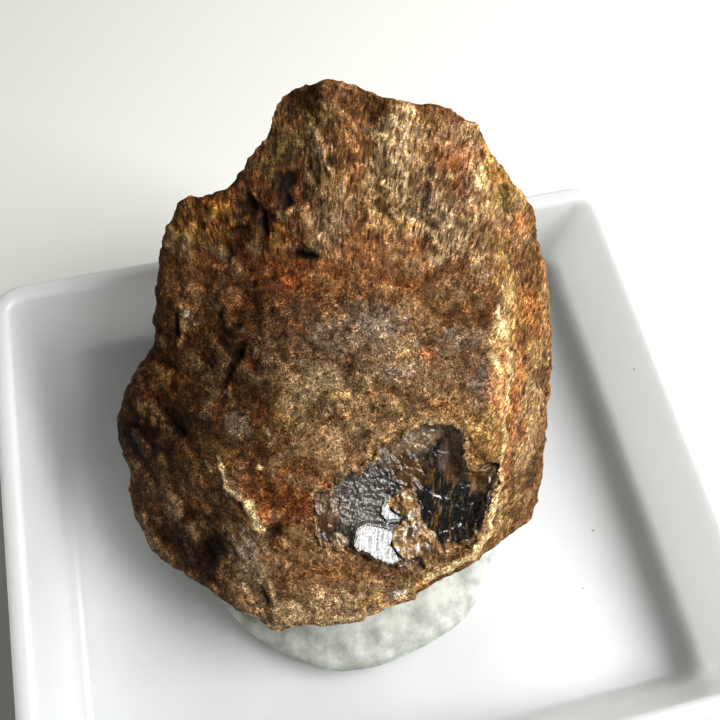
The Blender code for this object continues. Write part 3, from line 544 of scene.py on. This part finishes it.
def rindTone(place, grains, crumbs, hollow):
    x, y, z = place.T
    fine, finer, finest, warpX, warpY = grains
    onFace = ramp(*stone["coloursFade"], z)
    ragged = 0.35 * finer + 0.3 * finest
    tone = np.tile(np.array(linear(palette["umber"])[:3]), (len(place), 1))
    # broad clouds, then the patches, then mottling over both
    paint(tone, "rust", 0.6 * ramp(0.0, 0.5, noiseAt(place, 4.2, 50.0) + 0.4 * fine))
    paint(tone, "ochre", 0.5 * ramp(0.1, 0.6, noiseAt(place, 3.3, 54.0) + 0.4 * finer))
    paint(tone, "bark", 0.5 * ramp(0.1, 0.6, noiseAt(place, 2.6, 55.0) + 0.3 * finer))
    for middle, halfWidth, halfHeight, turn, colour, strength in patches:
        warp = min(1.0, 0.5 * min(halfWidth, halfHeight))
        near = spot(x + warp * warpX, y + warp * warpY, middle, halfWidth, halfHeight, turn)
        paint(tone, colour, strength * onFace * (1 - ramp(0.5, 1.2, near + ragged)))
    paint(tone, "rust", 0.4 * ramp(0.2, 0.6, noiseAt(place, 1.2, 60.0)))
    paint(tone, "dust", 0.3 * ramp(0.25, 0.6, finer))
    paint(tone, "brick", 0.35 * ramp(0.25, 0.6, noiseAt(place, 0.7, 61.0)))
    paint(tone, "bark", 0.65 * ramp(0.15, 0.55, noiseAt(place, 0.55, 58.0)))
    # painted shade between the crumbs and painted highlight on top of them
    paint(tone, "bark", 0.6 * ramp(0.03, 0.13, -crumbs))
    paint(tone, "cream", 0.18 * ramp(0.05, 0.16, crumbs))
    # partly stains, partly painted shade: the listed patches darken and deepen the tone
    deeper = np.zeros(len(place))
    for middle, halfWidth, halfHeight, turn, depth in stainsAndShade:
        near = spot(x + 0.8 * warpX, y + 0.8 * warpY, middle, halfWidth, halfHeight, turn) + ragged
        deeper = np.maximum(deeper, depth * onFace * (1 - ramp(0.5, 1.3, near)))
    tone **= 1 + deeper[:, None]
    # the hollows darkened: partly dark specks, partly painted shade
    paint(tone, "soot", 0.85 * hollow)
    wavy = wavering(place)
    for points, halfWidth, colour, strength, _ in strands:
        near = lineDistance(x + wavy, y, points) / halfWidth + 0.8 * finest + 0.5 * finer
        paint(tone, colour, strength * onFace * (1 - ramp(0.6, 1.4, near)))
    return tone


def breakTone(place, grains):
    x, y, z = place.T
    fine, finer, finest, warpX, warpY = grains
    tone = np.tile(np.array(linear(palette["black"])[:3]), (len(place), 1))
    for middle, halfWidth, halfHeight, turn, colour, strength in breakPatches:
        near = spot(x + 0.3 * warpX, y + 0.3 * warpY, middle, halfWidth, halfHeight, turn)
        paint(tone, colour, strength * (1 - ramp(0.6, 1.1, near + 0.3 * finest)))
    wisps = noiseAt(place * (1, 0.3, 0.5), 0.25, 63.0)  # upright and fine
    paint(tone, "honey", 0.3 * isBlack(place) * ramp(0.3, 0.6, wisps) * ramp(-11.0, -7.0, y))
    wavy = 0.3 * wavering(place)
    for points in goldLines:
        near = lineDistance(x + wavy, y, points) + 0.1 * finest
        paint(tone, "honey", 0.5 * (1 - ramp(0.0, 0.09, near)) * ramp(-0.4, 0.2, finer))
    # each chip is beige, honey, white or dark: the white ones are painted highlights and the dark ones painted shade
    # for the gaps between chips
    chips, piece = isChips(place), cellsAt(place, 0.38, 62.0)
    paint(tone, "beige", 0.95 * chips)
    paint(tone, "honey", 0.85 * chips * ((piece < 0.28) | (y > -12.2) & (piece < 0.7)))
    paint(tone, "white", 0.75 * chips * (piece > 0.7))
    paint(tone, "soot", 0.85 * chips * ((piece > 0.28) & (piece < 0.4)))
    return tone


def toneOf(place, inside, glassy, crumbs, hollow):  # the stone's colour at each point, linear
    grains = grainsOf(place)
    finer = grains[1]
    tone = mix(rindTone(place, grains, crumbs, hollow), breakTone(place, grains), glassy[:, None])
    # a pale rim where the rind is broken through
    rim = np.exp(-((inside + 0.1) / 0.13) ** 2) * ramp(-0.3, 0.5, finer + 0.3)
    paint(tone, "cream", 0.45 * rim * ramp(*stone["coloursFade"], place[:, 2]))
    return tone


def peakMoves(place):  # the peak's left side stands further out, and its right side higher up the face
    x, y, z = place.T
    wider = stone["peakWider"] * (0.35 * ramp(4.0, 10.0, y) + 0.65 * ramp(13.0, 20.0, y))
    wider *= ramp(3.5, -2.5, x) * ramp(-14.0, -9.0, z)
    taller = stone["peakTaller"] * ramp(13.0, 18.0, y) * (0.1 + 0.9 * ramp(-1.5, 2.0, x)) * ramp(12.0, 8.0, x)
    leftwards = np.array(toStone.to_3x3().inverted() @ Vector((-1, 0, 0)))
    return wider[:, None] * leftwards + taller[:, None] * (0, 1, 0)


def shapeStone():
    bm = evenStone()
    place = inStoneFrame(np.array([v.co[:] for v in bm.verts]))
    x, y, z = place.T  # views, so they follow the place
    bm.normal_update()
    outOfFace = toStone.to_3x3() @ Vector((0, 0, 1))
    facing = np.array([v.normal.dot(outOfFace) for v in bm.verts])
    place += peakMoves(place)

    # the break is cut in, with a ragged edge
    ragged = 0.12 * (noiseAt(place, 0.7, 70.0) + noiseAt(place, 0.35, 71.0)) + 0.2 * flakesAt(place, 0.6, 73.0)
    distance = insideOf(x, y, breakOutline)
    rind = rindOver(place, distance, facing)
    inside = np.where((facing > 0.1) & (z > -stone["faceDepth"]), distance + ragged, -1.0)
    inBreak = inside > -0.3
    place[inBreak, 2] = breakFloor(place[inBreak], inside[inBreak], rind[inBreak])
    for vert, point in zip(bm.verts, outOfStoneFrame(place)):
        vert.co = point
    glassy = ramp(0.0, 0.2, inside)

    # the fine relief is raised along the normals
    fibres = alongFibres(place)
    fibrousUp = ramp(2.0, 10.0, y + 1.5 * noiseAt(place, 3.0, 72.0))
    fibrous = 0.1 + 0.65 * np.maximum(fibrousUp, ramp(11.5, 14.0, x))
    crumbs = crumbsOf(place, glassy)
    hollow, deep = pitsOf(place)
    height = reliefOf(place, fibres, fibrous, glassy, crumbs, deep)
    bm.normal_update()
    moves = np.array([v.normal[:] for v in bm.verts]) * (height * mm)[:, None]
    for vert, move in zip(bm.verts, moves):
        vert.co += Vector(move)
    for face in bm.faces:  # glass where its corners lie inside the break by 0.1 mm on average
        face.material_index = int(sum(inside[v.index] for v in face.verts) > 0.4)
    mesh = bpy.data.meshes.new("betafiteStone")
    bm.to_mesh(mesh)
    bm.free()

    tone = toneOf(place, inside, glassy, crumbs, hollow)
    painted = mesh.color_attributes.new("tone", "FLOAT_COLOR", "POINT")
    painted.data.foreach_set("color", np.insert(tone, 3, 1, axis=1).astype(np.float32).ravel())
    setAttribute(mesh, "fibres", fibres)
    setAttribute(mesh, "fibrous", fibrous)
    # arcs of the conchoidal break on its left, upright striae on its right
    black = isBlack(place)
    centreX, centreY = fresh["striaeCentre"]
    across = np.where(black > 0.5, x, np.hypot(x - centreX, y - centreY))
    along = np.where(black > 0.5, y, 0.5 * (y - x))
    setAttribute(mesh, "striae", np.stack([across, along, z], -1))
    # smoother glass on the glaring facets and on the black side
    setAttribute(mesh, "calm", np.maximum(0.68 * isGlaring(place), 0.95 * black) * (1 - isChips(place)))
    print("the stone is shaped and coloured")
    return mesh


def rindMaterial():  # weathered rind: dull and grainy, hairy where the crystal's fibres show
    made, tree, shader = newMaterial("weatheredRind")
    whole = addNode(tree, "ShaderNodeTexCoord").outputs["Object"]
    tone = addNode(tree, "ShaderNodeAttribute", attribute_name="tone").outputs["Color"]
    fibres = addNode(tree, "ShaderNodeAttribute", attribute_name="fibres").outputs["Vector"]
    fibrous = addNode(tree, "ShaderNodeAttribute", attribute_name="fibrous").outputs["Fac"]

    # felted crumbs of 0.23 mm
    crumbs = addNode(tree, "ShaderNodeTexNoise", {"Vector": whole, "Scale": 1 / (0.23 * mm), "Detail": 3.0,
                                                  "Roughness": 0.7, "Distortion": 1.2})
    # fibres 0.18 mm across and 0.8 mm long
    thin = addNode(tree, "ShaderNodeMapping", {"Vector": fibres, "Scale": (1 / 0.18, 1 / 0.8, 1 / 0.4)})
    hairs = addNode(tree, "ShaderNodeTexNoise", {"Vector": thin.outputs["Vector"], "Scale": 1.0, "Detail": 2.5,
                                                 "Roughness": 0.65, "Distortion": 0.5})
    grain = addNode(tree, "ShaderNodeMix", {0: fibrous, 2: crumbs.outputs["Fac"], 3: hairs.outputs["Fac"]},
                    data_type="FLOAT").outputs[0]
    # it multiplies the tone, dark in the pores and pale on the grains: partly the rind's own speckle, partly painted
    # shade in the pores and painted highlight on the grains
    contrast = addNode(tree, "ShaderNodeValToRGB", {"Fac": grain})
    setColours(contrast, [(0.31, "#251d15"), (0.42, "#685d50"), (0.5, "#8e8b85"), (0.58, "#b9b8b5"),
                          (0.69, "#eeece8")])
    shade = addNode(tree, "ShaderNodeVectorMath", {0: contrast.outputs["Color"], 1: (2.85, 3.25, 3.8)},
                    operation="MULTIPLY")
    shaded = addNode(tree, "ShaderNodeVectorMath", {0: shade.outputs[0], 1: tone}, operation="MULTIPLY")
    colour, height = shaded.outputs[0], grain
    # two sets of pale threads, 0.06 mm thick, that curl and break off
    for size, seed in ((0.5, 0.0), (0.4, 3.0)):
        moved = addNode(tree, "ShaderNodeMapping", {"Vector": whole, "Location": (seed, seed, seed)})
        curls = addNode(tree, "ShaderNodeTexNoise", {"Vector": moved.outputs["Vector"],
                                                     "Scale": 1 / (size * mm), "Detail": 1.5,
                                                     "Distortion": 1.5})
        thread = addNode(tree, "ShaderNodeMath", {0: curls.outputs["Fac"], 1: 0.5, 2: 0.045},
                         operation="COMPARE")
        where = addNode(tree, "ShaderNodeTexNoise", {"Vector": moved.outputs["Vector"],
                                                     "Scale": 1 / (0.8 * mm), "Detail": 2.0})
        share = addNode(tree, "ShaderNodeMapRange", {"Value": where.outputs["Fac"], "From Min": 0.46,
                                                     "From Max": 0.6})
        amount = addNode(tree, "ShaderNodeMath", {0: thread.outputs[0], 1: share.outputs[0]},
                         operation="MULTIPLY")
        gain = addNode(tree, "ShaderNodeMath", {0: amount.outputs[0], 1: 1.5, 2: 1.0},
                       operation="MULTIPLY_ADD")
        colour = addNode(tree, "ShaderNodeVectorMath", {0: colour, "Scale": gain.outputs[0]},
                         operation="SCALE").outputs[0]
        height = addNode(tree, "ShaderNodeMath", {0: amount.outputs[0], 1: 0.2, 2: height},
                         operation="MULTIPLY_ADD").outputs[0]
    tree.links.new(colour, shader.inputs["Base Color"])
    rough = addNode(tree, "ShaderNodeMapRange", {"Value": grain, "From Min": 0.35, "From Max": 0.65,
                                                 "To Min": 0.85, "To Max": 0.5})
    tree.links.new(rough.outputs[0], shader.inputs["Roughness"])
    bump = addNode(tree, "ShaderNodeBump", {"Strength": 1.0, "Distance": 0.14 * mm, "Height": height})
    tree.links.new(bump.outputs["Normal"], shader.inputs["Normal"])
    shader.inputs["Specular IOR Level"].default_value = 0.12
    return made


def glassMaterial():  # fresh metamict betafite: dark resinous glass, finely striated, honey in thin chips
    made, tree, shader = newMaterial("freshBetafite")
    whole = addNode(tree, "ShaderNodeTexCoord").outputs["Object"]
    tone = addNode(tree, "ShaderNodeAttribute", attribute_name="tone").outputs["Color"]
    striae = addNode(tree, "ShaderNodeAttribute", attribute_name="striae").outputs["Vector"]
    calm = addNode(tree, "ShaderNodeAttribute", attribute_name="calm").outputs["Fac"]
    # striae 0.22 mm apart
    stretched = addNode(tree, "ShaderNodeMapping", {"Vector": striae, "Scale": (1 / 0.22, 1 / 1.3, 1 / 1.5)})
    lines = addNode(tree, "ShaderNodeTexNoise", {"Vector": stretched.outputs["Vector"], "Scale": 1.0,
                                                 "Detail": 3.0, "Roughness": 0.65, "Distortion": 0.6})
    # specks of 0.2 mm
    specks = addNode(tree, "ShaderNodeTexNoise", {"Vector": whole, "Scale": 1 / (0.2 * mm), "Detail": 2.0,
                                                  "Roughness": 0.6})
    uneven = addNode(tree, "ShaderNodeMix", {0: 0.4, 2: lines.outputs["Fac"], 3: specks.outputs["Fac"]},
                     data_type="FLOAT").outputs[0]
    contrast = addNode(tree, "ShaderNodeMapRange", {"Value": uneven, "From Min": 0.38, "From Max": 0.62,
                                                    "To Min": 0.4, "To Max": 1.7})
    lifted = addNode(tree, "ShaderNodeVectorMath", {0: tone, "Scale": contrast.outputs[0]}, operation="SCALE")
    # pale golden threads between the upright striae
    threads = addNode(tree, "ShaderNodeMapRange", {"Value": lines.outputs["Fac"], "From Min": 0.58,
                                                   "From Max": 0.68, "To Min": 0.0, "To Max": 0.5})
    amount = addNode(tree, "ShaderNodeMath", {0: threads.outputs[0], 1: calm}, operation="MULTIPLY")
    threaded = addNode(tree, "ShaderNodeMix", data_type="RGBA")
    threaded.inputs[7].default_value = linear("#a98a5c")
    tree.links.new(amount.outputs[0], threaded.inputs[0])
    tree.links.new(lifted.outputs[0], threaded.inputs[6])
    tree.links.new(threaded.outputs[2], shader.inputs["Base Color"])
    rough = addNode(tree, "ShaderNodeMapRange", {"Value": specks.outputs["Fac"], "From Min": 0.4,
                                                 "From Max": 0.62, "To Min": 0.12, "To Max": 0.34})
    tree.links.new(rough.outputs[0], shader.inputs["Roughness"])
    steep = addNode(tree, "ShaderNodeMapRange", {"Value": calm, "To Min": 1.0, "To Max": 0.25})
    height = addNode(tree, "ShaderNodeMath", {0: uneven, 1: steep.outputs[0]}, operation="MULTIPLY")
    bump = addNode(tree, "ShaderNodeBump", {"Strength": 1.0, "Distance": 0.2 * mm, "Height": height.outputs[0]})
    tree.links.new(bump.outputs["Normal"], shader.inputs["Normal"])
    shader.inputs["IOR"].default_value = 2.0  # betafite's own, high for a stone
    return made


addPiece("betafiteStone", shapeStone(), [rindMaterial(), glassMaterial()], "betafite")


# the putty: a disc of grey mineral putty, pressed flat by the stone and kneaded by fingers

putty = {
    "middle": (-1.1, -0.5),
    "restsAt": 1.8,
    "radius": 14.6,
    "height": 3.6,
    "bulge": 1.5,  # the edge past the foot
    "heldFlat": 10.5,  # radius that the stone holds flat
    "steps": 72,
    "lobes": [(8.0, 0.35), (3.0, 0.08)],  # size and depth of the edge's waves
    "flutes": (1.5, 4.0, 0.28),  # finger marks across and along the edge, and their depth
    "lumps": [(2.6, 0.22), (1.1, 0.12), (0.5, 0.05)],
}


def shapePutty():
    foot, top, flat = putty["radius"] - putty["bulge"], putty["height"], putty["heldFlat"]
    section = [
        (0, top), (0.5 * flat, top), (flat, top), (0.9 * foot, 0.99 * top), (foot, 0.95 * top),
        (foot + 0.7 * putty["bulge"], 0.82 * top), (putty["radius"], 0.55 * top),
        (foot + 0.85 * putty["bulge"], 0.2 * top), (foot, 0), (0.6 * foot, 0), (0, 0),
    ]
    bm = bmesh.new()
    verts = [bm.verts.new((r * mm, 0, z * mm)) for r, z in section]
    edges = [bm.edges.new(pair) for pair in zip(verts, verts[1:])]
    bmesh.ops.spin(bm, geom=verts + edges, axis=(0, 0, 1), angle=math.tau, steps=putty["steps"], use_merge=True)
    bmesh.ops.remove_doubles(bm, verts=bm.verts, dist=0.01 * mm)
    bmesh.ops.recalc_face_normals(bm, faces=bm.faces)
    mesh = bpy.data.meshes.new("puttyDisc")
    bm.to_mesh(mesh)
    bm.free()
    smooth = applied(mesh, "SUBSURF", levels=2, render_levels=2)
    bm = bmesh.new()
    bm.from_mesh(smooth)
    place = np.array([v.co[:] for v in bm.verts]) / mm
    x, y, z = place.T
    reach = np.hypot(x, y)
    flatPlace = np.stack([x, y, 0 * z], -1)
    waves = sum(depth * noiseAt(flatPlace, size) for size, depth in putty["lobes"])
    across, along, deep = putty["flutes"]
    onEdge = np.arctan2(y, x) * putty["radius"]
    around = np.stack([onEdge / across, reach / along, z / along], -1)
    rough = deep * noiseAt(around, 1.0, 5.0) * ramp(7.0, 12.0, reach)
    rough += sum(tall * noiseAt(place, size, 8.0 * size) for size, tall in putty["lumps"])
    free = ramp(flat, foot, reach)  # 0 under the stone, 1 at the edge
    normals = np.array([v.normal[:] for v in bm.verts])
    upwards = 0.15 + 0.85 * ramp(0.3, 0.9, normals[:, 2])  # the marks are deepest on top
    push = normals * (rough * free * upwards * ramp(0.05, 0.8, z))[:, None]
    place[:, 0] += x / np.maximum(reach, 0.1) * waves * free
    place[:, 1] += y / np.maximum(reach, 0.1) * waves * free
    place += push + (*putty["middle"], putty["restsAt"])
    place[:, 2] = np.clip(place[:, 2], putty["restsAt"], putty["restsAt"] + top + 0.25 * free)
    for vert, point in zip(bm.verts, place * mm):
        vert.co = point
    made = bpy.data.meshes.new("puttyDisc")
    bm.to_mesh(made)
    bm.free()
    return made


def puttyMaterial():  # mineral putty: matt and chalky, with painted shade darkening it towards its left
    made, tree, shader = newMaterial("greyMineralPutty")
    whole = addNode(tree, "ShaderNodeTexCoord").outputs["Object"]
    clouds = addNode(tree, "ShaderNodeTexNoise", {"Vector": whole, "Scale": 1 / (1.6 * mm), "Detail": 4.0,
                                                  "Roughness": 0.6})
    shade = addNode(tree, "ShaderNodeValToRGB", {"Fac": clouds.outputs["Fac"]})
    setColours(shade, [(0.34, "#a3a69e"), (0.5, "#bdc0b7"), (0.64, "#d4d7cd")])
    # painted shade: darker towards its left, lighter towards its right
    left = addNode(tree, "ShaderNodeSeparateXYZ", {"Vector": whole}).outputs["X"]
    paintedShadeLeft = addNode(tree, "ShaderNodeMapRange", {"Value": left, "From Min": -9 * mm, "From Max": 9 * mm,
                                                  "To Min": 0.78, "To Max": 1.2})
    paintedShadeColour = addNode(tree, "ShaderNodeVectorMath", {0: shade.outputs["Color"], "Scale": paintedShadeLeft.outputs[0]},
                      operation="SCALE")
    tree.links.new(paintedShadeColour.outputs[0], shader.inputs["Base Color"])
    grit = addNode(tree, "ShaderNodeTexNoise", {"Vector": whole, "Scale": 1 / (0.3 * mm), "Detail": 3.0,
                                                "Roughness": 0.6})
    bump = addNode(tree, "ShaderNodeBump", {"Strength": 0.5, "Distance": 0.1 * mm,
                                            "Height": grit.outputs["Fac"]})
    tree.links.new(bump.outputs["Normal"], shader.inputs["Normal"])
    shader.inputs["Roughness"].default_value = 0.9
    shader.inputs["Specular IOR Level"].default_value = 0.3
    return made


addPiece("puttyDisc", shapePutty(), [puttyMaterial()], "putty")


# the tray: a small moulded tray of white polystyrene, its walls leaning outwards

tray = {
    "floorSize": (56.2, 45.5),  # inside
    "floorHeight": 1.5,
    "height": 12.5,
    "wall": 1.7,
    "lean": 0.055,  # run per rise
    "corner": 1.4,  # inner radius in plan
    "fillet": 1.2,  # between wall and floor
    "footEdge": 0.6,
    "rimEdge": 0.5,
    "segments": 10,
}


def shapeTray():
    bm = bmesh.new()
    bmesh.ops.create_cube(bm, size=1)
    spread = tray["lean"] * (tray["height"] - tray["floorHeight"])
    below = tray["lean"] * tray["floorHeight"]
    for vert in bm.verts:
        lean = spread if vert.co.z > 0 else -below
        vert.co.x *= (tray["floorSize"][0] + 2 * (tray["wall"] + lean)) * mm
        vert.co.y *= (tray["floorSize"][1] + 2 * (tray["wall"] + lean)) * mm
        vert.co.z = tray["height"] * mm if vert.co.z > 0 else 0

    def rounded(edges, radius, segments):
        bmesh.ops.bevel(bm, geom=edges, offset=radius * mm, affect="EDGES", segments=segments,
                        profile=0.5, material=-1)

    upright = [e for e in bm.edges if abs(e.verts[0].co.z - e.verts[1].co.z) > mm]
    rounded(upright, tray["corner"] + tray["wall"], tray["segments"])
    rim = max(bm.faces, key=lambda face: face.calc_center_median().z)
    bmesh.ops.inset_region(bm, faces=[rim], thickness=tray["wall"] * mm, use_even_offset=True)
    sunk = bmesh.ops.extrude_discrete_faces(bm, faces=[rim])["faces"][0]
    for vert in sunk.verts:
        vert.co.x *= tray["floorSize"][0] / (tray["floorSize"][0] + 2 * spread)
        vert.co.y *= tray["floorSize"][1] / (tray["floorSize"][1] + 2 * spread)
        vert.co.z = tray["floorHeight"] * mm
    rounded(list(sunk.edges), tray["fillet"], tray["segments"])
    foot = min(bm.faces, key=lambda face: face.calc_center_median().z)
    rounded(list(foot.edges), tray["footEdge"], 5)
    top = [e for e in bm.edges if min(v.co.z for v in e.verts) > (tray["height"] - 0.01) * mm
           and len({round(f.normal.z, 1) for f in e.link_faces}) > 1]
    rounded(top, tray["rimEdge"], 6)
    bmesh.ops.recalc_face_normals(bm, faces=bm.faces)
    mesh = bpy.data.meshes.new("trayShell")
    bm.to_mesh(mesh)
    bm.free()
    mesh.shade_smooth()
    return applied(mesh, "WEIGHTED_NORMAL", keep_sharp=False)


def trayMaterial():  # moulded white polystyrene: opaque, a soft satin gloss, a little dust
    made, tree, shader = newMaterial("whitePolystyrene")
    whole = addNode(tree, "ShaderNodeTexCoord").outputs["Object"]
    haze = addNode(tree, "ShaderNodeTexNoise", {"Vector": whole, "Scale": 1 / (9 * mm), "Detail": 3.0})
    shade = addNode(tree, "ShaderNodeValToRGB", {"Fac": haze.outputs["Fac"]})
    setColours(shade, [(0.35, "#ecf0ef"), (0.5, "#eff3f2"), (0.65, "#f2f5f4")])
    dots = addNode(tree, "ShaderNodeTexVoronoi", {"Vector": whole, "Scale": 1 / (5.5 * mm)})
    speck = addNode(tree, "ShaderNodeMath", {0: dots.outputs["Distance"], 1: 0.028}, operation="LESS_THAN")
    dusty = addNode(tree, "ShaderNodeMix", data_type="RGBA")
    dusty.inputs[7].default_value = linear("#b9b3a6")
    tree.links.new(speck.outputs[0], dusty.inputs[0])
    tree.links.new(shade.outputs["Color"], dusty.inputs[6])
    tree.links.new(dusty.outputs[2], shader.inputs["Base Color"])
    satin = addNode(tree, "ShaderNodeMapRange", {"Value": haze.outputs["Fac"], "From Min": 0.3, "From Max": 0.7,
                                                 "To Min": 0.3, "To Max": 0.42})
    tree.links.new(satin.outputs[0], shader.inputs["Roughness"])
    shader.inputs["IOR"].default_value = 1.59
    shader.inputs["Subsurface Weight"].default_value = 1.0  # light passes a little way into the thin walls
    shader.inputs["Subsurface Radius"].default_value = (1.0, 1.0, 1.0)
    shader.inputs["Subsurface Scale"].default_value = 5.5 * mm
    return made


addPiece("trayShell", shapeTray(), [trayMaterial()], "tray")


# camera, light and floor

view = {
    "camera": (-6.8, -17.12, 81.5),  # mm
    "turn": 17.9,  # degrees, to the right of +Y
    "down": 67.0,
    "roll": 5.4,
    "lens": 40.75,
}
softboxes = {  # towards the lamp, its distance and size in metres, and its power in watts
    "window": ((0.61, -0.165, 0.775), 0.22, 0.13, 0.78),
    "behind": ((0.05, 0.87, 0.48), 0.45, 0.35, 0.22),
}
room = {"paper": "#f5f5ee", "air": "#eceae4", "strength": 0.09}


def addCamera():
    lens = bpy.data.cameras.new("camera")
    lens.lens = view["lens"]
    lens.clip_start = 1 * mm
    camera = bpy.data.objects.new("camera", lens)
    aim = Euler((math.radians(90 - view["down"]), 0, math.radians(-view["turn"]))).to_matrix()
    aim = aim @ Matrix.Rotation(math.radians(view["roll"]), 3, "Z")
    camera.matrix_world = Matrix.Translation(Vector(view["camera"]) * mm) @ aim.to_4x4()
    bpy.context.scene.collection.objects.link(camera)
    bpy.context.scene.camera = camera


def addSoftbox(name, direction, distance, size, power):
    lamp = bpy.data.lights.new(name, "AREA")
    lamp.size = size
    lamp.energy = power
    box = bpy.data.objects.new(name, lamp)
    towards = Vector(direction).normalized()
    target = Vector((0, 0, 15 * mm))  # the stone's middle
    aim = towards.to_track_quat("Z", "Y")
    box.matrix_world = Matrix.Translation(target + towards * distance) @ aim.to_matrix().to_4x4()
    bpy.context.scene.collection.objects.link(box)


def addFloor():
    bm = bmesh.new()
    bmesh.ops.create_grid(bm, x_segments=1, y_segments=1, size=1.5)
    bmesh.ops.translate(bm, verts=bm.verts, vec=(0, 0, -0.05 * mm))
    mesh = bpy.data.meshes.new("floor")
    bm.to_mesh(mesh)
    bm.free()
    floor = bpy.data.objects.new("floor", mesh)
    bpy.context.scene.collection.objects.link(floor)
    made, tree, shader = newMaterial("palePaper")
    shader.inputs["Base Color"].default_value = linear(room["paper"])
    shader.inputs["Roughness"].default_value = 0.8
    mesh.materials.append(made)


def addRoom():  # a little even light from all round
    world = bpy.data.worlds.new("room")
    world.use_nodes = True
    background = world.node_tree.nodes["Background"]
    background.inputs["Color"].default_value = linear(room["air"])
    background.inputs["Strength"].default_value = room["strength"]
    bpy.context.scene.world = world
    bpy.context.scene.view_settings.view_transform = "Standard"


addCamera()
for name, values in softboxes.items():
    addSoftbox(name, *values)
addFloor()
addRoom()
print("the camera, the softboxes and the floor are in place")
